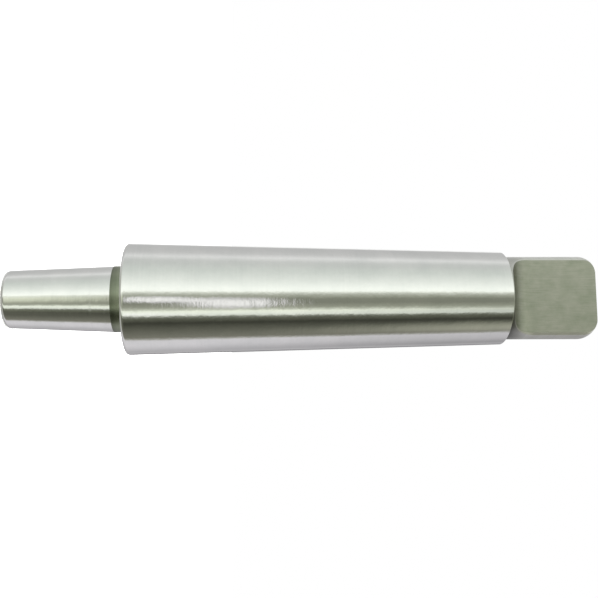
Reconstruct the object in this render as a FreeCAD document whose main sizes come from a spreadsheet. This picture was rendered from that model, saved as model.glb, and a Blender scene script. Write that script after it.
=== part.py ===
"""Drill chuck arbor: a size 3 self-holding taper shank with a tang, and a size 2 short cone for the chuck.

The arbor is turned, milled and ground from one bar, so it is one solid. It stands on the small end of
its nose: the origin is the centre of that end face, and +Z runs along the axis to the tang. The two
flats of the tang face -Y and +Y. Sizes are in millimetres and degrees.
"""
import FreeCAD, Part
import Sketcher
import math
import os

# Every size that can be set by itself: its name, its value and what it measures
SIZES = {
    "nose_tip_diameter": (12.385, "small end of the nose's cone"),
    "nose_taper": (0.08155, "growth of the nose's diameter for each mm of length"),
    "nose_length": (22.75, "length of the ground cone that the chuck seats on"),
    "nose_chamfer": (0.5, "edge break at the small end of the nose"),
    "neck_diameter": (14.3, "turned neck between the nose and the shank, a little proud of the ground cone"),
    "neck_width": (2.65, "length of the neck"),
    "neck_fillet": (0.4, "fillet at the root of the neck"),
    "shank_big_diameter": (24.1, "big end of the shank's taper"),
    "shank_taper": (0.0502, "loss of the shank's diameter for each mm of length"),
    "shank_length": (80.5, "length of the ground taper"),
    "shank_big_chamfer": (0.5, "edge break at the big end of the shank"),
    "shank_small_chamfer": (0.1, "edge break at the small end of the shank"),
    "tang_step": (1.08, "height of the shoulder, from the tang to the small end of the shank"),
    "tang_length": (19.7, "length of the tang beyond the shank"),
    "tang_corner_radius": (2.8, "rounded corner at the end of the tang"),
    "tang_thickness": (7.9, "distance between the two milled flats"),
    "flat_length": (13.8, "length of each flat, from the tang's end to its run-out"),
    "runout_radius": (5.5, "radius that the milling cutter leaves at the end of a flat"),
    "nose_centre_mouth": (5.3, "mouth of the centre hole in the nose"),
    "nose_centre_pilot": (2.5, "pilot drill of the centre hole in the nose"),
    "nose_pilot_depth": (2.6, "length of the pilot hole beyond the cone, in the nose"),
    "tang_centre_mouth": (4.25, "mouth of the centre hole in the tang"),
    "tang_centre_pilot": (2.0, "pilot drill of the centre hole in the tang"),
    "tang_pilot_depth": (2.1, "length of the pilot hole beyond the cone, in the tang"),
    "centre_angle": (60.0, "full angle of the centre holes' cones"),
    "drill_angle": (118.0, "full angle of the pilot holes' drill points"),
}

# Heights and radii that follow from the sizes, as the sketches read them from the sheet
SHOULDER = "(sizes.nose_length + sizes.neck_width)"
SHANK_END = f"({SHOULDER} + sizes.shank_length)"
TANG_END = f"({SHANK_END} + sizes.tang_length)"
SHANK_END_RADIUS = "((sizes.shank_big_diameter - sizes.shank_taper * sizes.shank_length) / 2)"
TANG_RADIUS = f"({SHANK_END_RADIUS} - sizes.tang_step)"

# The axes that every sketch has, and the two ends of a line or arc. A level axis starts at the origin.
LEVEL_AXIS, UPRIGHT_AXIS = -1, -2
START, END = 1, 2


def size(name):
    return SIZES[name][0]


def shoulder_height():
    return size("nose_length") + size("neck_width")


def shank_end_height():
    return shoulder_height() + size("shank_length")


def tang_end_height():
    return shank_end_height() + size("tang_length")


def shank_end_radius():
    return (size("shank_big_diameter") - size("shank_taper") * size("shank_length")) / 2


def tang_radius():
    return shank_end_radius() - size("tang_step")


def add_sheet(doc):
    sheet = doc.addObject("Spreadsheet::Sheet", "sizes")
    for row, (name, (number, meaning)) in enumerate(SIZES.items(), start=1):
        sheet.set(f"A{row}", name)
        sheet.set(f"B{row}", str(number))
        sheet.set(f"C{row}", meaning)
        sheet.setAlias(f"B{row}", name)
    doc.recompute()


def add_sketch(body, name, role):
    """A sketch on one of the body's own origin planes."""
    sketch = body.newObject("Sketcher::SketchObject", name)
    plane = next(f for f in body.Origin.OriginFeatures if f.Role == role)
    sketch.AttachmentSupport = [(plane, "")]
    sketch.MapMode = "FlatFace"
    return sketch


def draw_outline(sketch, corners):
    """Lines from corner to corner, joined end to end. A line drawn level or upright is kept so."""
    points = [FreeCAD.Vector(x, y, 0) for x, y in corners]
    lines = []
    for begin, finish in zip(points[:-1], points[1:]):
        line = sketch.addGeometry(Part.LineSegment(begin, finish), False)
        if lines:
            sketch.addConstraint(Sketcher.Constraint("Coincident", lines[-1], END, line, START))
        if begin.x == finish.x:
            sketch.addConstraint(Sketcher.Constraint("Vertical", line))
        elif begin.y == finish.y:
            sketch.addConstraint(Sketcher.Constraint("Horizontal", line))
        lines.append(line)
    return lines


def close_outline(sketch, lines):
    sketch.addConstraint(Sketcher.Constraint("Coincident", lines[-1], END, lines[0], START))


def bind(sketch, name, expression, *constraint):
    """A dimension of the sketch that follows the sheet."""
    index = sketch.addConstraint(Sketcher.Constraint(*constraint))
    sketch.renameConstraint(index, name)
    sketch.setExpression(f"Constraints.{name}", expression)


def reach_right(sketch, name, expression, line, end, value):
    """The distance of a line's end from the sketch's upright axis."""
    bind(sketch, name, expression, "DistanceX", LEVEL_AXIS, START, line, end, value)


def reach_up(sketch, name, expression, line, end, value):
    """The height of a line's end above the sketch's origin."""
    bind(sketch, name, expression, "DistanceY", LEVEL_AXIS, START, line, end, value)


def ring(body, radius, height):
    """The name of the edge that is a full circle of this radius at this height."""
    for index, edge in enumerate(body.Shape.Edges, start=1):
        curve = edge.Curve
        if isinstance(curve, Part.Circle) and edge.Closed:
            if abs(curve.Radius - radius) < 0.001 and abs(curve.Center.z - height) < 0.001:
                return f"Edge{index}"
    raise RuntimeError(f"no edge of radius {radius} at height {height}")


def dress_edge(doc, body, kind, name, setting, expression, radius, height):
    """A chamfer or fillet on one turned edge."""
    feature = body.newObject(kind, name)
    feature.Base = (feature.BaseFeature, [ring(feature.BaseFeature, radius, height)])
    feature.setExpression(setting, expression)
    doc.recompute()


def check_cut(feature):
    """Stops the build if a cut has missed the solid."""
    before = feature.BaseFeature.Shape.Volume
    if not feature.Shape.Volume < before - 1e-6:
        raise RuntimeError(f"{feature.Name} cuts nothing")


def add_tang(doc, body):
    """The round stub of the tang, with its rounded end."""
    radius = tang_radius()
    base = shank_end_height()
    top = tang_end_height()
    sketch = add_sketch(body, "tang_profile", "XZ_Plane")
    lines = draw_outline(sketch, [(0, base), (radius, base), (radius, top), (0, top), (0, base)])
    close_outline(sketch, lines)
    foot, side, end, _ = lines
    sketch.addConstraint(Sketcher.Constraint("PointOnObject", foot, START, UPRIGHT_AXIS))
    reach_up(sketch, "base_height", SHANK_END, foot, START, base)
    reach_up(sketch, "end_height", TANG_END, end, START, top)
    reach_right(sketch, "radius", TANG_RADIUS, side, START, radius)
    turned = body.newObject("PartDesign::Revolution", "tang")
    turned.Profile = (sketch, [""])
    turned.ReferenceAxis = (sketch, ["V_Axis"])
    doc.recompute()
    corner_radius = "sizes.tang_corner_radius"
    dress_edge(doc, body, "PartDesign::Fillet", "tang_corner", "Radius", corner_radius, radius, top)


def add_flats(doc, body):
    """The two milled flats, each ending in the round run-out of the cutter."""
    half = size("tang_thickness") / 2
    radius = size("runout_radius")
    outside = half + radius + tang_radius()
    outside_expression = f"sizes.tang_thickness / 2 + sizes.runout_radius + {TANG_RADIUS}"
    top = tang_end_height()
    low = top - size("flat_length")
    sketch = add_sketch(body, "flat_profile", "YZ_Plane")
    lines = draw_outline(sketch, [
        (half + radius, low - radius), (outside, low - radius), (outside, top), (half, top), (half, low),
    ])
    cutter = Part.Circle(FreeCAD.Vector(half + radius, low, 0), FreeCAD.Vector(0, 0, 1), radius)
    runout = sketch.addGeometry(Part.ArcOfCircle(cutter, math.pi, 1.5 * math.pi), False)
    foot, outer, end, flat = lines
    sketch.addConstraint(Sketcher.Constraint("Tangent", flat, END, runout, START))
    sketch.addConstraint(Sketcher.Constraint("Tangent", runout, END, foot, START))
    reach_right(sketch, "half_thickness", "sizes.tang_thickness / 2", flat, START, half)
    reach_right(sketch, "outside", outside_expression, outer, START, outside)
    reach_up(sketch, "end_height", TANG_END, flat, START, top)
    bind(sketch, "flat_length", "sizes.flat_length", "DistanceY", flat, END, flat, START, top - low)
    bind(sketch, "runout_radius", "sizes.runout_radius", "Radius", runout, radius)
    pocket = body.newObject("PartDesign::Pocket", "flat")
    pocket.Profile = (sketch, [""])
    pocket.Type = "ThroughAll"
    pocket.SideType = "Symmetric"
    doc.recompute()
    check_cut(pocket)
    mirrored = body.newObject("PartDesign::Mirrored", "flats")
    mirrored.Originals = [pocket]
    plane = next(f for f in body.Origin.OriginFeatures if f.Role == "XZ_Plane")
    mirrored.MirrorPlane = (plane, [""])
    body.Tip = mirrored
    doc.recompute()
    if not mirrored.Shape.Volume < pocket.Shape.Volume - 1e-6:
        raise RuntimeError("the second flat cuts nothing")


def add_nose_and_shank(doc, body):
    """The nose's cone, the neck and the tapered shank, turned as one profile against the tang."""
    tip = size("nose_tip_diameter") / 2
    nose_top = size("nose_length")
    nose_growth = size("nose_taper") * nose_top / 2
    neck = size("neck_diameter") / 2
    shoulder = shoulder_height()
    big = size("shank_big_diameter") / 2
    end = shank_end_height()
    small = shank_end_radius()
    sketch = add_sketch(body, "turned_profile", "XZ_Plane")
    lines = draw_outline(sketch, [
        (0, 0), (tip, 0), (tip + nose_growth, nose_top), (neck, nose_top), (neck, shoulder),
        (big, shoulder), (small, end), (0, end), (0, 0),
    ])
    close_outline(sketch, lines)
    face, cone, _, neck_side, shoulder_face, taper, _, _ = lines
    sketch.addConstraint(Sketcher.Constraint("Coincident", face, START, LEVEL_AXIS, START))
    reach_right(sketch, "tip_radius", "sizes.nose_tip_diameter / 2", cone, START, tip)
    reach_up(sketch, "nose_length", "sizes.nose_length", cone, END, nose_top)
    bind(sketch, "nose_growth", "sizes.nose_taper * sizes.nose_length / 2",
         "DistanceX", cone, START, cone, END, nose_growth)
    reach_right(sketch, "neck_radius", "sizes.neck_diameter / 2", neck_side, START, neck)
    bind(sketch, "neck_width", "sizes.neck_width",
         "DistanceY", neck_side, START, neck_side, END, shoulder - nose_top)
    reach_right(sketch, "big_radius", "sizes.shank_big_diameter / 2", shoulder_face, END, big)
    reach_right(sketch, "small_radius", SHANK_END_RADIUS, taper, END, small)
    bind(sketch, "shank_length", "sizes.shank_length",
         "DistanceY", taper, START, taper, END, end - shoulder)
    turned = body.newObject("PartDesign::Revolution", "nose_and_shank")
    turned.Profile = (sketch, [""])
    turned.ReferenceAxis = (sketch, ["V_Axis"])
    doc.recompute()
    chamfer = "PartDesign::Chamfer"
    dress_edge(doc, body, chamfer, "nose_break", "Size", "sizes.nose_chamfer", tip, 0)
    dress_edge(doc, body, chamfer, "big_end_break", "Size", "sizes.shank_big_chamfer", big, shoulder)
    dress_edge(doc, body, chamfer, "small_end_break", "Size", "sizes.shank_small_chamfer", small, end)
    dress_edge(doc, body, "PartDesign::Fillet", "neck_root", "Radius", "sizes.neck_fillet", neck, shoulder)


def add_centre_hole(doc, body, place):
    """A centre hole for grinding between centres, in the end face of the nose or of the tang."""
    height, inward = {"nose": (0, 1), "tang": (tang_end_height(), -1)}[place]
    mouth = size(f"{place}_centre_mouth") / 2
    pilot = size(f"{place}_centre_pilot") / 2
    slope = math.tan(math.radians(size("centre_angle") / 2))
    point_slope = math.tan(math.radians(size("drill_angle") / 2))
    cone_end = height + inward * (mouth - pilot) / slope
    pilot_end = cone_end + inward * size(f"{place}_pilot_depth")
    point = pilot_end + inward * pilot / point_slope
    sketch = add_sketch(body, f"{place}_centre_profile", "XZ_Plane")
    lines = draw_outline(sketch, [
        (0, height), (mouth, height), (pilot, cone_end), (pilot, pilot_end), (0, point), (0, height),
    ])
    close_outline(sketch, lines)
    face, cone, bore, drill_point, _ = lines
    sketch.addConstraint(Sketcher.Constraint("PointOnObject", face, START, UPRIGHT_AXIS))
    reach_right(sketch, "mouth_radius", f"sizes.{place}_centre_mouth / 2", cone, START, mouth)
    reach_right(sketch, "pilot_radius", f"sizes.{place}_centre_pilot / 2", bore, START, pilot)
    if place == "nose":
        sketch.addConstraint(Sketcher.Constraint("PointOnObject", face, START, LEVEL_AXIS))
        low, high = START, END
    else:
        reach_up(sketch, "face_height", TANG_END, face, START, height)
        low, high = END, START
    sheet_mouth, sheet_pilot = f"sizes.{place}_centre_mouth", f"sizes.{place}_centre_pilot"
    cone_depth = f"({sheet_mouth} - {sheet_pilot}) / 2 / tan(sizes.centre_angle / 2)"
    point_depth = f"{sheet_pilot} / 2 / tan(sizes.drill_angle / 2)"
    for name, line, expression, depth in [
        ("cone_depth", cone, cone_depth, (mouth - pilot) / slope),
        ("pilot_depth", bore, f"sizes.{place}_pilot_depth", size(f"{place}_pilot_depth")),
        ("point_depth", drill_point, point_depth, pilot / point_slope),
    ]:
        bind(sketch, name, expression, "DistanceY", line, low, line, high, depth)
    groove = body.newObject("PartDesign::Groove", f"{place}_centre_hole")
    groove.Profile = (sketch, [""])
    groove.ReferenceAxis = (sketch, ["V_Axis"])
    doc.recompute()
    check_cut(groove)


def check(doc, body):
    """Stops the build if anything failed without raising."""
    for item in doc.Objects:
        if "Invalid" in item.State or "Error" in item.State:
            raise RuntimeError(f"{item.Name} failed: {item.State}")
        if item.TypeId == "Sketcher::SketchObject" and not item.FullyConstrained:
            raise RuntimeError(f"{item.Name} is not fully constrained")
    shape = body.Shape
    if shape.isNull() or not shape.isValid() or len(shape.Solids) != 1:
        raise RuntimeError(f"{body.Label} is not one valid solid")


def build():
    doc = FreeCAD.newDocument("drill_chuck_arbor")
    add_sheet(doc)
    arbor = doc.addObject("PartDesign::Body", "arbor")
    arbor.Label = "arbor"
    doc.recompute()
    add_tang(doc, arbor)
    add_flats(doc, arbor)
    add_nose_and_shank(doc, arbor)
    add_centre_hole(doc, arbor, "nose")
    add_centre_hole(doc, arbor, "tang")
    doc.recompute()
    check(doc, arbor)
    os.makedirs("parts", exist_ok=True)
    arbor.Shape.exportStep("parts/arbor.step")
    box = arbor.Shape.BoundBox
    print(f"{box.XLength:.3f} x {box.YLength:.3f} x {box.ZLength:.3f} mm, {arbor.Shape.Volume:.0f} mm3")


build()
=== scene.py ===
"""Drill chuck arbor, dressed for the camera: one turned, milled and ground piece of steel that stands on
the small end of its nose, with its tang up. The flats of the tang face -Y and +Y."""
import math

import bmesh
import bpy
from mathutils import Euler, Matrix, Vector


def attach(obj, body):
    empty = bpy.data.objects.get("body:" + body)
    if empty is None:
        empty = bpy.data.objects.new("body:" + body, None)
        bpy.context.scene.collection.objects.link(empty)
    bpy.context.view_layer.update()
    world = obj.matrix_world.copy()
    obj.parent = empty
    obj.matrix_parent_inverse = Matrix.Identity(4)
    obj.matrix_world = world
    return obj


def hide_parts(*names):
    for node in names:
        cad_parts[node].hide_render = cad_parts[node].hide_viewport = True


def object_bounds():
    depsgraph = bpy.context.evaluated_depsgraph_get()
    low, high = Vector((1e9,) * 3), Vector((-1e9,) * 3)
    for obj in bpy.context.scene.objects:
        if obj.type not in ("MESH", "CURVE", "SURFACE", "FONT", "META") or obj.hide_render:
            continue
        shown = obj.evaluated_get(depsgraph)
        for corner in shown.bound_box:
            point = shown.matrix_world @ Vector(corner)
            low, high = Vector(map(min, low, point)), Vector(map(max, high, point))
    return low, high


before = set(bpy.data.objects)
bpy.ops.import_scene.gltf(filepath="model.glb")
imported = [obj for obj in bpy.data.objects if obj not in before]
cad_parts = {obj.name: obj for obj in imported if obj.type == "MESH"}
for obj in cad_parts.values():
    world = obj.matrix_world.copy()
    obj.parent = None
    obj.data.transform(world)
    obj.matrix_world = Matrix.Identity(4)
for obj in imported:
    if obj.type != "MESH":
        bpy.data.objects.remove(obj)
CAD_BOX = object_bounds()

MM = 0.001

# Sizes of the arbor in mm, from the nose up. A slope is the change of the radius for each mm of height
NOSE_TIP_RADIUS = 6.1925
NOSE_SLOPE = 0.040775
NOSE_LENGTH = 22.75
NOSE_ROUND = 0.85
NECK_RADIUS = 7.15
NECK_STEP_HEIGHT = 0.02
NECK_WIDTH = 2.65
NECK_FILLET = 0.4
SHANK_BIG_RADIUS = 12.05
SHANK_SLOPE = 0.0251
SHANK_LENGTH = 80.5
BIG_END_ROUND = 0.8
SMALL_END_BREAK = 0.1
TANG_STEP = 1.08
TANG_CORNER = 2.8
TANG_HALF_THICKNESS = 3.95
FLAT_LENGTH = 13.8
RUNOUT_RADIUS = 5.5
# Break of the milled edges: its width on the flat, on the run-out and at the tang's end, the height over
# which it narrows on the run-out, and how many times wider it is on the round side
FLAT_EDGE_BREAK = 0.31
RUNOUT_EDGE_BREAK = 0.13
END_EDGE_BREAK = 0.04
EDGE_BREAK_FADE = 3.0
EDGE_BREAK_LEAN = 1.75
# Centre holes: radius of the mouth, radius of the pilot and depth of the pilot
CENTRE_HOLES = {"nose": (2.65, 1.25, 2.6), "tang": (2.125, 1.0, 2.1)}
CENTRE_CONE_SLOPE = math.tan(math.radians(30))
DRILL_POINT_SLOPE = math.tan(math.radians(59))
# How far the tang's end stays below the top of the solid
UNDER_TOP = 0.0001

# Heights and radii that follow from the sizes
NOSE_BIG_RADIUS = NOSE_TIP_RADIUS + NOSE_SLOPE * NOSE_LENGTH
SHOULDER = NOSE_LENGTH + NECK_WIDTH
SHANK_END = SHOULDER + SHANK_LENGTH
SHANK_SMALL_RADIUS = SHANK_BIG_RADIUS - SHANK_SLOPE * SHANK_LENGTH
TANG_RADIUS = SHANK_SMALL_RADIUS - TANG_STEP
TANG_END = CAD_BOX[1][2] / MM - UNDER_TOP
FLAT_START = TANG_END - FLAT_LENGTH

# Divisions of the mesh. The corner of the milled section stays on the same point of every ring
ROUND = 192
QUARTER = ROUND // 4
CORNER_POINT = 32
CORNER_SPREAD = 0.6
ROUNDING_RINGS = 8
FILLET_RINGS = 5
RUNOUT_RINGS = 26
CORNER_RINGS = 12
SHARP_ANGLE = math.radians(20)
# Half the thickness where the run-out breaks out of the round stub, and the gap to the ring below it
BREAKOUT_HALF = 0.973 * TANG_RADIUS
BREAKOUT_GAP = 0.03
# Gaps from a corner to the ring beside it: anywhere, on the stub, and inside the flats on the end face
NEAR = 0.15
STUB_NEAR = 0.1
END_FACE_NEAR = 0.3
# How far apart, in mm, things still count as meeting, as level and as one point
MEETING = 1e-3
LEVEL = 1e-4
DOUBLE = 1e-5
# A face beyond this radius is in no centre hole, and one turned outwards by more than this is on a cone
OUTSIDE_HOLES = 5.0
OUTWARD = 0.15

# Slots of the arbor's finishes
GROUND, TURNED, STUB, MILLED = range(4)


def straight(start, end, near=NEAR, longest=4.0):
    """Points from start up to end, with one close to each, so that shading stays true at the ends."""
    a, b = Vector(start), Vector(end)
    length = (b - a).length
    if length < 4 * near:
        return [a]
    steps = max(1, round((length - 2 * near) / longest))
    inner = [near + (length - 2 * near) * i / steps for i in range(steps + 1)]
    return [a] + [a.lerp(b, way / length) for way in inner]


def run(corners, **spacing):
    """Straight stretches from corner to corner, without the last corner."""
    return [point for pair in zip(corners[:-1], corners[1:]) for point in straight(*pair, **spacing)]


def rounded(centre, radius, start, end, steps):
    """Points along an arc, without its last one."""
    angles = [math.radians(start + (end - start) * i / steps) for i in range(steps)]
    return [Vector((centre[0] + radius * math.cos(a), centre[1] + radius * math.sin(a))) for a in angles]


def centre_hole(place, face, inward):
    """Corners of a centre hole from its mouth down to the drill's point."""
    mouth, pilot, depth = CENTRE_HOLES[place]
    cone_end = face + inward * (mouth - pilot) / CENTRE_CONE_SLOPE
    bore_end = cone_end + inward * depth
    point = bore_end + inward * pilot / DRILL_POINT_SLOPE
    return [(mouth, face), (pilot, cone_end), (pilot, bore_end), (0.0, point)]


def runout_heights():
    """Heights of the rings on the run-out, from where it breaks out of the round stub to the flat."""
    rise = (BREAKOUT_HALF - TANG_HALF_THICKNESS) / RUNOUT_RADIUS
    steepest = math.acos(1 - rise)
    angles = [steepest * (1 - step / RUNOUT_RINGS) for step in range(RUNOUT_RINGS)]
    return [FLAT_START - RUNOUT_RADIUS * math.sin(angle) for angle in angles]


def outline():
    """The turned outline as points (radius, height), from the drill point in the nose to that in the tang."""
    small_edge = SHANK_SMALL_RADIUS - SMALL_END_BREAK
    nose_edge = NOSE_TIP_RADIUS + NOSE_SLOPE * NOSE_ROUND
    nose_face = nose_edge - NOSE_ROUND
    neck_foot = NECK_RADIUS + NECK_FILLET
    big_edge = SHANK_BIG_RADIUS - SHANK_SLOPE * BIG_END_ROUND
    big_face = big_edge - BIG_END_ROUND
    end_edge = TANG_RADIUS - TANG_CORNER
    points = run(centre_hole("nose", 0.0, 1)[::-1])
    points += run([(CENTRE_HOLES["nose"][0], 0.0), (nose_face, 0.0)])
    points += rounded((nose_face, NOSE_ROUND), NOSE_ROUND, -90, 0, ROUNDING_RINGS)
    points += run([
        (nose_edge, NOSE_ROUND),
        (NOSE_BIG_RADIUS, NOSE_LENGTH),
        (NECK_RADIUS, NOSE_LENGTH + NECK_STEP_HEIGHT),
        (NECK_RADIUS, SHOULDER - NECK_FILLET),
    ])
    points += rounded((neck_foot, SHOULDER - NECK_FILLET), NECK_FILLET, 180, 90, FILLET_RINGS)
    points += run([(neck_foot, SHOULDER), (big_face, SHOULDER)])
    points += rounded((big_face, SHOULDER + BIG_END_ROUND), BIG_END_ROUND, -90, 0, ROUNDING_RINGS)
    points += run([
        (big_edge, SHOULDER + BIG_END_ROUND),
        (SHANK_SMALL_RADIUS + SHANK_SLOPE * SMALL_END_BREAK, SHANK_END - SMALL_END_BREAK),
        (small_edge, SHANK_END),
    ])
    points += [Vector((small_edge, SHANK_END)), Vector((small_edge - NEAR, SHANK_END))]
    heights = runout_heights()
    breakout = heights[0] - BREAKOUT_GAP
    points += run([(TANG_RADIUS, SHANK_END), (TANG_RADIUS, breakout)], near=STUB_NEAR)
    points += [Vector((TANG_RADIUS, height)) for height in [breakout] + heights]
    points += run([(TANG_RADIUS, FLAT_START), (TANG_RADIUS, TANG_END - TANG_CORNER)], longest=1.0)
    points += rounded((end_edge, TANG_END - TANG_CORNER), TANG_CORNER, 0, 90, CORNER_RINGS)
    points += [Vector((radius, TANG_END)) for radius in (end_edge, TANG_HALF_THICKNESS - END_FACE_NEAR)]
    hole = centre_hole("tang", TANG_END, -1)
    points += run(hole)
    points.append(Vector(hole[-1]))
    return points


def half_thickness(height):
    """Half the tang's thickness at this height: the run-out's arc, then the flat, then the edge break."""
    if height < FLAT_START:
        drop = min(FLAT_START - height, RUNOUT_RADIUS)
        return TANG_HALF_THICKNESS + RUNOUT_RADIUS - math.sqrt(RUNOUT_RADIUS ** 2 - drop ** 2)
    return TANG_HALF_THICKNESS - max(0.0, height - (TANG_END - END_EDGE_BREAK))


def edge_break(height):
    """Width of the milled edge's break on the flat: wide along it, narrow at its end and on the run-out."""
    if height < FLAT_START:
        narrow = RUNOUT_EDGE_BREAK
        share = min(1.0, (FLAT_START - height) / EDGE_BREAK_FADE)
    else:
        narrow = END_EDGE_BREAK
        share = max(0.0, 1.0 - (TANG_END - height) / TANG_CORNER)
    return FLAT_EDGE_BREAK + (narrow - FLAT_EDGE_BREAK) * share


def mill(vert, index):
    """Moves a point of the round stub on to the milled section at its height.

    Within a quarter, the points up to the corner share the turned side, the next one ends the edge break,
    and the rest share the flat. Below the run-out they share the round in the same way."""
    radius = math.hypot(vert.co.x, vert.co.y)
    half = half_thickness(vert.co.z)
    whole = half > BREAKOUT_HALF + MEETING
    corner = math.asin(min(half, BREAKOUT_HALF) / radius)
    width = edge_break(vert.co.z)
    turned_back = EDGE_BREAK_LEAN * width / radius
    place = index % (2 * QUARTER)
    side = place if place <= QUARTER else 2 * QUARTER - place
    over = (side - CORNER_POINT - 1) / (QUARTER - CORNER_POINT - 1)
    if side <= CORNER_POINT:
        share = side / CORNER_POINT
        share -= CORNER_SPREAD * math.sin(math.pi * share) / math.pi
        angle = (corner - turned_back) * share
        x, y = radius * math.cos(angle), radius * math.sin(angle)
    elif whole:
        angle = corner + turned_back + (math.pi / 2 - corner - turned_back) * over
        x, y = radius * math.cos(angle), radius * math.sin(angle)
    else:
        x, y = (radius * math.cos(corner) - width) * (1 - over), half
    turn = index % ROUND
    vert.co.x = math.copysign(x, 1 if turn < QUARTER or turn > 3 * QUARTER else -1)
    vert.co.y = math.copysign(y, 1 if turn < 2 * QUARTER else -1)


def finish_of(face):
    """Which finish a face has, from its place on the arbor and the way it faces."""
    middle = face.calc_center_median()
    radius = math.hypot(middle.x, middle.y)
    outward = (face.normal.x * middle.x + face.normal.y * middle.y) / max(radius, DOUBLE)
    if middle.z > SHANK_END + MEETING:
        milled = all(abs(vert.co.y) > half_thickness(vert.co.z) - MEETING for vert in face.verts)
        return MILLED if milled else STUB
    on_nose = 0.0 < middle.z < NOSE_LENGTH - MEETING
    on_shank = SHOULDER < middle.z < SHANK_END
    if radius > OUTSIDE_HOLES and outward > OUTWARD and (on_nose or on_shank):
        return GROUND
    return TURNED


def make_arbor():
    """The turned outline spun round the axis, with both sides of the tang milled flat."""
    bm = bmesh.new()
    verts = [bm.verts.new((radius, 0.0, height)) for radius, height in outline()]
    edges = [bm.edges.new(pair) for pair in zip(verts[:-1], verts[1:])]
    bmesh.ops.spin(bm, geom=verts + edges, cent=(0, 0, 0), axis=(0, 0, 1), angle=2 * math.pi,
                   steps=ROUND, use_merge=True)
    bmesh.ops.remove_doubles(bm, verts=bm.verts, dist=DOUBLE)
    step = 2 * math.pi / ROUND
    for vert in bm.verts:
        radius = math.hypot(vert.co.x, vert.co.y)
        on_stub = TANG_HALF_THICKNESS < radius < TANG_RADIUS + LEVEL
        if on_stub and vert.co.z > SHANK_END - LEVEL:
            mill(vert, round(math.atan2(vert.co.y, vert.co.x) / step) % ROUND)
    bmesh.ops.recalc_face_normals(bm, faces=bm.faces)
    for face in bm.faces:
        face.smooth = True
        face.material_index = finish_of(face)
    bmesh.ops.scale(bm, vec=(MM, MM, MM), verts=bm.verts)
    mesh = bpy.data.meshes.new("arbor_body")
    bm.to_mesh(mesh)
    bm.free()
    mesh.set_sharp_from_angle(angle=SHARP_ANGLE)
    piece = bpy.data.objects.new("arbor_body", mesh)
    bpy.context.scene.collection.objects.link(piece)
    for material in (ground_steel(), turned_steel(), stub_steel(), milled_steel()):
        mesh.materials.append(material)
    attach(piece, "root")
    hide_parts("arbor")


def add(tree, kind, inputs=(), **settings):
    """A node with its settings. Inputs are (socket name or number, value or the socket that feeds it)."""
    node = tree.nodes.new(kind)
    for name, value in settings.items():
        setattr(node, name, value)
    for key, value in inputs:
        if isinstance(value, bpy.types.NodeSocket):
            tree.links.new(value, node.inputs[key])
        else:
            node.inputs[key].default_value = value
    return node


def maths(tree, operation, *values):
    return add(tree, "ShaderNodeMath", list(enumerate(values)), operation=operation).outputs[0]


def spread(tree, value, low, high, start=0.0, end=1.0, curve="LINEAR"):
    """A value that runs from start to end, made to run from low to high."""
    node = add(tree, "ShaderNodeMapRange", [
        ("Value", value), ("From Min", start), ("From Max", end), ("To Min", low), ("To Max", high),
    ], interpolation_type=curve)
    return node.outputs[0]


def ramp(tree, value, stops):
    node = add(tree, "ShaderNodeValToRGB", [("Fac", value)])
    elements = node.color_ramp.elements
    while len(elements) < len(stops):
        elements.new(0.5)
    for element, (place, colour) in zip(elements, stops):
        element.position = place
        element.color = (*colour, 1.0) if hasattr(colour, "__len__") else (colour, colour, colour, 1.0)
    return node.outputs["Color"]


def mixed(tree, share, first, second, blend="MIX"):
    node = add(tree, "ShaderNodeMix", [("Factor", share), (6, first), (7, second)],
               data_type="RGBA", blend_type=blend)
    return node.outputs[2]


# Shared groups that have been made, by name
GROUPS = {}
# Noise keeps near its middle, so these ranges of it are spread over 0 to 1
MARKS_RANGE = (0.3, 0.7)
CLOUD_RANGE = (0.32, 0.68)
NOISE_ROUGHNESS = 0.6
CLOUD_DETAIL = 5.0
# Scale and detail of the tool marks' two noises
MARKS = {"Fine": (1.0, 3.0), "Broad": (0.31, 2.0)}


def group(tree, maker, **values):
    """Places a shared group in a material, with that material's own values."""
    if maker.__name__ not in GROUPS:
        GROUPS[maker.__name__] = maker(maker.__name__)
    node = tree.nodes.new("ShaderNodeGroup")
    node.node_tree = GROUPS[maker.__name__]
    for name, value in values.items():
        socket = node.inputs[name.replace("_", " ").capitalize()]
        if isinstance(value, bpy.types.NodeSocket):
            tree.links.new(value, socket)
        else:
            socket.default_value = value
    return node.outputs


def new_group(name, inputs, outputs):
    """An empty node group with number sockets, and its input and output nodes."""
    tree = bpy.data.node_groups.new(name, "ShaderNodeTree")
    for label, value in inputs.items():
        socket = tree.interface.new_socket(label, in_out="INPUT", socket_type="NodeSocketFloat")
        socket.default_value = value
    for label in outputs:
        tree.interface.new_socket(label, in_out="OUTPUT", socket_type="NodeSocketFloat")
    return tree, add(tree, "NodeGroupInput").outputs, add(tree, "NodeGroupOutput").inputs


def place_on_arbor(name):
    """Where a point lies, in mm: X, Y, Height, and Path, its way along the turned outline."""
    tree, _, out = new_group(name, {}, ("X", "Y", "Height", "Path"))
    place = add(tree, "ShaderNodeTexCoord").outputs["Object"]
    in_mm = add(tree, "ShaderNodeVectorMath", [(0, place), ("Scale", 1 / MM)], operation="SCALE").outputs[0]
    x, y, height = add(tree, "ShaderNodeSeparateXYZ", [("Vector", in_mm)]).outputs
    level = add(tree, "ShaderNodeCombineXYZ", [("X", x), ("Y", y)]).outputs[0]
    radius = add(tree, "ShaderNodeVectorMath", [(0, level)], operation="LENGTH").outputs["Value"]
    tree.links.new(x, out["X"])
    tree.links.new(y, out["Y"])
    tree.links.new(height, out["Height"])
    tree.links.new(maths(tree, "ADD", height, radius), out["Path"])
    return tree


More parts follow.
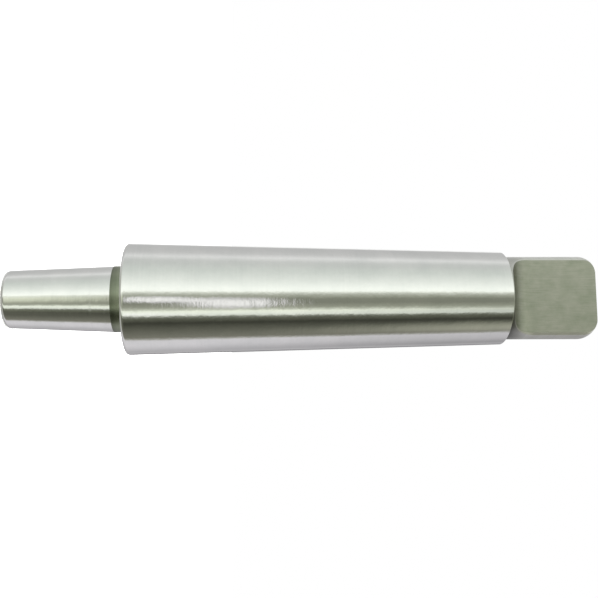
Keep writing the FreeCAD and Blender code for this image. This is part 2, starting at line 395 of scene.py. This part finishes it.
def tool_marks(name):
    """Fine lines across a path, each as long as Length, from 0 to 1: Fine for relief, Broad for gloss."""
    inputs = {"Across": 0.0, "Side a": 0.0, "Side b": 0.0, "Pitch": 0.3, "Length": 10.0}
    tree, given, out = new_group(name, inputs, ("Fine", "Broad"))
    place = add(tree, "ShaderNodeCombineXYZ", [
        ("X", maths(tree, "DIVIDE", given["Side a"], given["Length"])),
        ("Y", maths(tree, "DIVIDE", given["Side b"], given["Length"])),
        ("Z", maths(tree, "DIVIDE", given["Across"], given["Pitch"])),
    ]).outputs[0]
    for label, (scale, detail) in MARKS.items():
        noise = add(tree, "ShaderNodeTexNoise", [
            ("Vector", place), ("Scale", scale), ("Detail", detail), ("Roughness", NOISE_ROUGHNESS),
        ])
        tree.links.new(spread(tree, noise.outputs["Fac"], 0.0, 1.0, *MARKS_RANGE), out[label])
    return tree


def tarnish(name):
    """Soft uneven patches, Grain mm across, from 0 to 1."""
    inputs = {"X": 0.0, "Y": 0.0, "Height": 0.0, "Grain": 5.0}
    tree, given, out = new_group(name, inputs, ("Cloud",))
    place = add(tree, "ShaderNodeCombineXYZ", [
        (axis, maths(tree, "DIVIDE", given[label], given["Grain"]))
        for axis, label in (("X", "X"), ("Y", "Y"), ("Z", "Height"))
    ]).outputs[0]
    cloud = add(tree, "ShaderNodeTexNoise", [
        ("Vector", place), ("Scale", 1.0), ("Detail", CLOUD_DETAIL), ("Roughness", NOISE_ROUGHNESS),
    ])
    tree.links.new(spread(tree, cloud.outputs["Fac"], 0.0, 1.0, *CLOUD_RANGE), out["Cloud"])
    return tree


def new_material(name):
    material = bpy.data.materials.new(name)
    material.use_nodes = True
    material.node_tree.nodes.clear()
    return material, material.node_tree


def finish(tree, colour, roughness, height, depth):
    """The steel's shader, with relief of this depth in mm."""
    relief = add(tree, "ShaderNodeBump", [("Strength", 1.0), ("Distance", depth * MM), ("Height", height)])
    shader = add(tree, "ShaderNodeBsdfPrincipled", [
        ("Base Color", colour), ("Metallic", 1.0), ("Roughness", roughness), ("Normal", relief.outputs[0]),
    ])
    add(tree, "ShaderNodeOutputMaterial", [("Surface", shader.outputs[0])])


def turned_lines(tree, place, pitch, length):
    """Lines round the arbor, a pitch apart and each about this long, in mm."""
    return group(tree, tool_marks, across=place["Path"], side_a=place["X"], side_b=place["Y"],
                 pitch=pitch, length=length)


def milled_lines(tree, place, pitch, length):
    """Lines along the arbor, across the flats, in the same way."""
    return group(tree, tool_marks, across=place["X"], side_a=place["Height"], side_b=place["Y"],
                 pitch=pitch, length=length)


def cloud_of(tree, place, grain):
    return group(tree, tarnish, x=place["X"], y=place["Y"], height=place["Height"], grain=grain)["Cloud"]


def ground_steel():
    """Bright steel with the fine lines of the grinding wheel, which are deepest at the shank's big end."""
    material, tree = new_material("ground_steel")
    place = group(tree, place_on_arbor)
    lines = turned_lines(tree, place, pitch=0.3, length=26.0)
    deep_reach = 30.0
    depth_beyond = 0.35
    line_depth = spread(tree, place["Height"], 1.0, depth_beyond, SHOULDER, SHOULDER + deep_reach)
    rough_lines = maths(tree, "MULTIPLY", maths(tree, "POWER", lines["Broad"], 3.0), line_depth)
    relief = maths(tree, "MULTIPLY_ADD", lines["Fine"], 0.1, cloud_of(tree, place, grain=5.0))
    shades = mixed(tree, 0.2, cloud_of(tree, place, grain=6.0), lines["Fine"])
    colour = ramp(tree, shades, [(0.0, (0.695, 0.70, 0.69)), (1.0, (0.775, 0.77, 0.76))])
    finish(tree, colour, spread(tree, rough_lines, 0.045, 0.2), relief, depth=0.017)
    return material


# Between these X, in mm, the painted shade of a corner turns from the one side's to the other's
SHADE_TURNS = (1.0, 6.0)


def dull_steel(name, dark, light, roughness, lines_of, pitch, length, grain, depth,
               corner, corner_width, shade):
    """Steel left from the lathe or the mill: two shades in patches, broken by its tool marks. Painted shade
    makes it darker in the corner that starts at this height, by one shade on the -X side and the other on the
    +X side."""
    material, tree = new_material(name)
    place = group(tree, place_on_arbor)
    lines = lines_of(tree, place, pitch, length)
    patches = mixed(tree, 0.5, cloud_of(tree, place, grain), lines["Fine"])
    colour = ramp(tree, patches, [(0.0, dark), (1.0, light)])
    # Painted shade: the colour darkens towards the corner, by a different amount on each side
    darkest = spread(tree, place["X"], *shade, *SHADE_TURNS)
    painted_corner_shade = spread(tree, place["Height"], darkest, 1.0, corner, corner + corner_width)
    colour = mixed(tree, 1.0, colour, painted_corner_shade, "MULTIPLY")
    finish(tree, colour, spread(tree, lines["Broad"], *roughness), lines["Fine"], depth)
    return material


def turned_steel():
    return dull_steel(
        "turned_steel", dark=(0.255, 0.285, 0.205), light=(0.35, 0.38, 0.285), roughness=(0.28, 0.38),
        lines_of=turned_lines, pitch=0.22, length=6.0, grain=3.0, depth=0.004,
        # Painted shade at the neck's foot, darkest against the nose
        corner=NOSE_LENGTH, corner_width=2.2, shade=(0.55, 0.5),
    )


def stub_steel():
    return dull_steel(
        "stub_steel", dark=(0.59, 0.595, 0.555), light=(0.71, 0.715, 0.67), roughness=(0.28, 0.38),
        lines_of=turned_lines, pitch=0.25, length=6.0, grain=3.0, depth=0.003,
        # Painted shade on the stub next to the shank's end, far darker on the +X side
        corner=SHANK_END, corner_width=4.6, shade=(0.75, 0.08),
    )


def milled_steel():
    return dull_steel(
        "milled_steel", dark=(0.3, 0.325, 0.255), light=(0.445, 0.44, 0.385), roughness=(0.32, 0.42),
        lines_of=milled_lines, pitch=0.3, length=4.0, grain=2.4, depth=0.005,
        # Painted shade along the run-out next to the shank's end
        corner=SHANK_END, corner_width=4.2, shade=(0.5, 0.5),
    )


# The photograph's camera, beside the arbor and rolled so that its tang points right
CAMERA_PLACE = (17.18 * MM, -163.192 * MM, 49.811 * MM)
CAMERA_TURN = math.radians(5.997)
CAMERA_LIFT = math.radians(1.083)
CAMERA_ROLL = math.radians(89.851)
CAMERA_LENS = 45.686
CAMERA_SENSOR = 36.0
CAMERA_SHIFT = 0.0739
CAMERA_CLIP = 0.01


def make_camera():
    data = bpy.data.cameras.new("camera")
    data.lens = CAMERA_LENS
    data.sensor_width = CAMERA_SENSOR
    data.shift_x = CAMERA_SHIFT
    data.clip_start = CAMERA_CLIP
    camera = bpy.data.objects.new("camera", data)
    bpy.context.scene.collection.objects.link(camera)
    upright = Euler((math.pi / 2 + CAMERA_LIFT, 0.0, CAMERA_TURN)).to_matrix()
    roll = Matrix.Rotation(CAMERA_ROLL, 3, "Z")
    camera.matrix_world = Matrix.Translation(CAMERA_PLACE) @ (upright @ roll).to_4x4()
    bpy.context.scene.camera = camera


# The ring of panels round the arbor: degrees from the camera's side to the picture's top, and the light there
RING = [
    (-180, 0.50),
    (-136, 0.54), (-117, 0.74), (-109, 0.80), (-95, 0.80), (-90.5, 0.45), (-86, 0.235),
    (-61, 0.115), (-50, 0.055), (-40.5, 0.145),
    (-36.6, 0.30), (-33.4, 0.95), (-30, 1.08), (-25, 1.14), (-21.8, 0.66), (-17.5, 0.40),
    (-8, 0.27), (0, 0.29), (8, 0.52),
    (12.5, 0.82), (16.5, 1.32), (23, 1.30), (40, 1.06), (60, 0.86), (78, 0.75), (87, 0.75),
    (94, 0.85), (99.5, 0.93), (105, 0.84), (113, 0.71), (125, 0.65),
    (180, 0.52),
]
# Tints of the light round the arbor
TINTS = [
    (-180, (1.0, 0.98, 1.02)),
    (-95, (1.0, 0.985, 1.02)),
    (-86, (1.0, 1.0, 0.82)),
    (-42, (0.95, 1.0, 0.75)),
    (-33, (0.945, 1.0, 0.9)),
    (-15, (0.95, 1.0, 0.79)),
    (3, (0.95, 1.0, 0.8)),
    (18, (0.96, 1.0, 0.93)),
    (64, (0.94, 1.0, 0.94)),
    (102, (0.99, 1.0, 0.99)),
    (180, (1.0, 1.0, 1.0)),
]
# Soft patches on the ring: light, degrees, half the width in degrees, height, and half the height
PATCHES = {
    "low front panel": (0.58, 1, 16, -0.42, 0.22),
    "low underside": (0.07, -48, 14, -0.42, 0.22),
    "strip light's lower end": (0.45, -35.5, 3.5, -0.45, 0.12),
    "over the strip light's lower end": (-0.4, -22.5, 4, -0.45, 0.12),
    "strip light's upper end": (-0.37, -28, 8, 0.5, 0.33),
    "table's far end": (0.25, -74, 18, 0.5, 0.36),
    "underside's far end": (-0.18, -118, 34, 0.36, 0.36),
    "back panel": (0.55, 164, 12, 0.0, 1.1),
    "back gap": (-0.3, -165, 12, 0.0, 1.1),
}
# White lamps among them, given in the same way
LAMPS = {
    "narrow end": (0.85, -1.2, 7, -0.065, 0.07),
    "wide end": (0.83, -8, 12, 0.04, 0.075),
    "strip light's middle": (0.15, -32, 6, -0.1, 0.08),
}
LAMP_TINT = (1.0, 1.0, 0.98, 1.0)
LAMP_TINT_GAIN = 3.0
# Where the light of a patch or lamp starts to fall and where it ends, in halves of its size
PATCH_FADE = (0.2, 1.3)
# Above and below the ring: the heights between which its light gives way, and the light there
CEILING_EDGE = (0.5, 0.85)
CEILING_LIGHT = 0.85
GROUND_EDGE = (-0.7, -0.95)
GROUND_LIGHT = 0.5
GROUND_TINT = (0.98, 1.0, 0.88, 1.0)


def part_of_turn(degrees):
    """A direction on the ring as a share of the whole turn."""
    return (degrees + 180) / 360


def patch(tree, around, height, degrees, half_width, level, half_length):
    """How much of a soft patch lies in a direction, from 0 to 1."""
    place = add(tree, "ShaderNodeCombineXYZ", [
        ("X", spread(tree, around, (-180 - degrees) / half_width, (180 - degrees) / half_width)),
        ("Y", maths(tree, "DIVIDE", maths(tree, "SUBTRACT", height, level), half_length)),
    ]).outputs[0]
    away = add(tree, "ShaderNodeVectorMath", [(0, place)], operation="LENGTH").outputs["Value"]
    return spread(tree, away, 1.0, 0.0, *PATCH_FADE, curve="SMOOTHSTEP")


def make_studio():
    """A white room for the camera, and for the steel a ring of soft panels and dark gaps round the arbor."""
    world = bpy.data.worlds.new("studio")
    bpy.context.scene.world = world
    world.use_nodes = True
    tree = world.node_tree
    tree.nodes.clear()
    direction = add(tree, "ShaderNodeTexCoord").outputs["Generated"]
    turned = add(tree, "ShaderNodeVectorRotate", [
        ("Vector", direction), ("Angle", math.pi / 2 - CAMERA_TURN),
    ], rotation_type="Z_AXIS").outputs[0]
    x, y, height = add(tree, "ShaderNodeSeparateXYZ", [("Vector", turned)]).outputs
    around = maths(tree, "SUBTRACT", 0.5, maths(tree, "DIVIDE", maths(tree, "ARCTAN2", y, x), 2 * math.pi))
    light = ramp(tree, around, [(part_of_turn(degrees), level) for degrees, level in RING])
    lamps = 0.0
    for amount, *area in PATCHES.values():
        light = maths(tree, "MULTIPLY_ADD", patch(tree, around, height, *area), amount, light)
    for amount, *area in LAMPS.values():
        lamps = maths(tree, "MULTIPLY_ADD", patch(tree, around, height, *area), amount, lamps)
    light = maths(tree, "ADD", light, lamps)
    above = spread(tree, height, 0.0, 1.0, *CEILING_EDGE)
    below = spread(tree, height, 0.0, 1.0, *GROUND_EDGE)
    for share, level in ((above, CEILING_LIGHT), (below, GROUND_LIGHT)):
        light = add(tree, "ShaderNodeMix", [(0, share), (2, light), (3, level)]).outputs[0]
    tint = ramp(tree, around, [(part_of_turn(degrees), colour) for degrees, colour in TINTS])
    tint = mixed(tree, maths(tree, "MULTIPLY", lamps, LAMP_TINT_GAIN), tint, LAMP_TINT)
    tint = mixed(tree, below, tint, GROUND_TINT)
    panels = add(tree, "ShaderNodeBackground", [("Color", tint), ("Strength", light)])
    white = add(tree, "ShaderNodeBackground", [("Color", (1, 1, 1, 1)), ("Strength", 1.0)])
    seen = add(tree, "ShaderNodeLightPath").outputs["Is Camera Ray"]
    room = add(tree, "ShaderNodeMixShader", [(0, seen), (1, panels.outputs[0]), (2, white.outputs[0])])
    add(tree, "ShaderNodeOutputWorld", [("Surface", room.outputs[0])])


FLOOR_HALF_WIDTH = 4.0
FLOOR_COLOUR = (0.9, 0.9, 0.9, 1.0)
FLOOR_ROUGHNESS = 0.9
FLOOR_LIGHT = 7.0
FLOOR_LIGHT_SPREAD = math.radians(140)


def make_floor():
    bm = bmesh.new()
    bmesh.ops.create_grid(bm, x_segments=1, y_segments=1, size=FLOOR_HALF_WIDTH)
    mesh = bpy.data.meshes.new("floor")
    bm.to_mesh(mesh)
    bm.free()
    floor = bpy.data.objects.new("floor", mesh)
    bpy.context.scene.collection.objects.link(floor)
    material, tree = new_material("pale_floor")
    shader = add(tree, "ShaderNodeBsdfPrincipled", [
        ("Base Color", FLOOR_COLOUR), ("Roughness", FLOOR_ROUGHNESS),
    ])
    add(tree, "ShaderNodeOutputMaterial", [("Surface", shader.outputs[0])])
    mesh.materials.append(material)
    floor.visible_glossy = False


def make_lights():
    """A wide soft light from above, for the floor. The steel mirrors only the studio."""
    data = bpy.data.lights.new("overhead", "SUN")
    data.energy = FLOOR_LIGHT
    data.angle = FLOOR_LIGHT_SPREAD
    light = bpy.data.objects.new("overhead", data)
    light.visible_glossy = False
    bpy.context.scene.collection.objects.link(light)


bpy.context.scene.view_settings.view_transform = "Standard"
make_arbor()
make_camera()
make_studio()
make_floor()
make_lights()
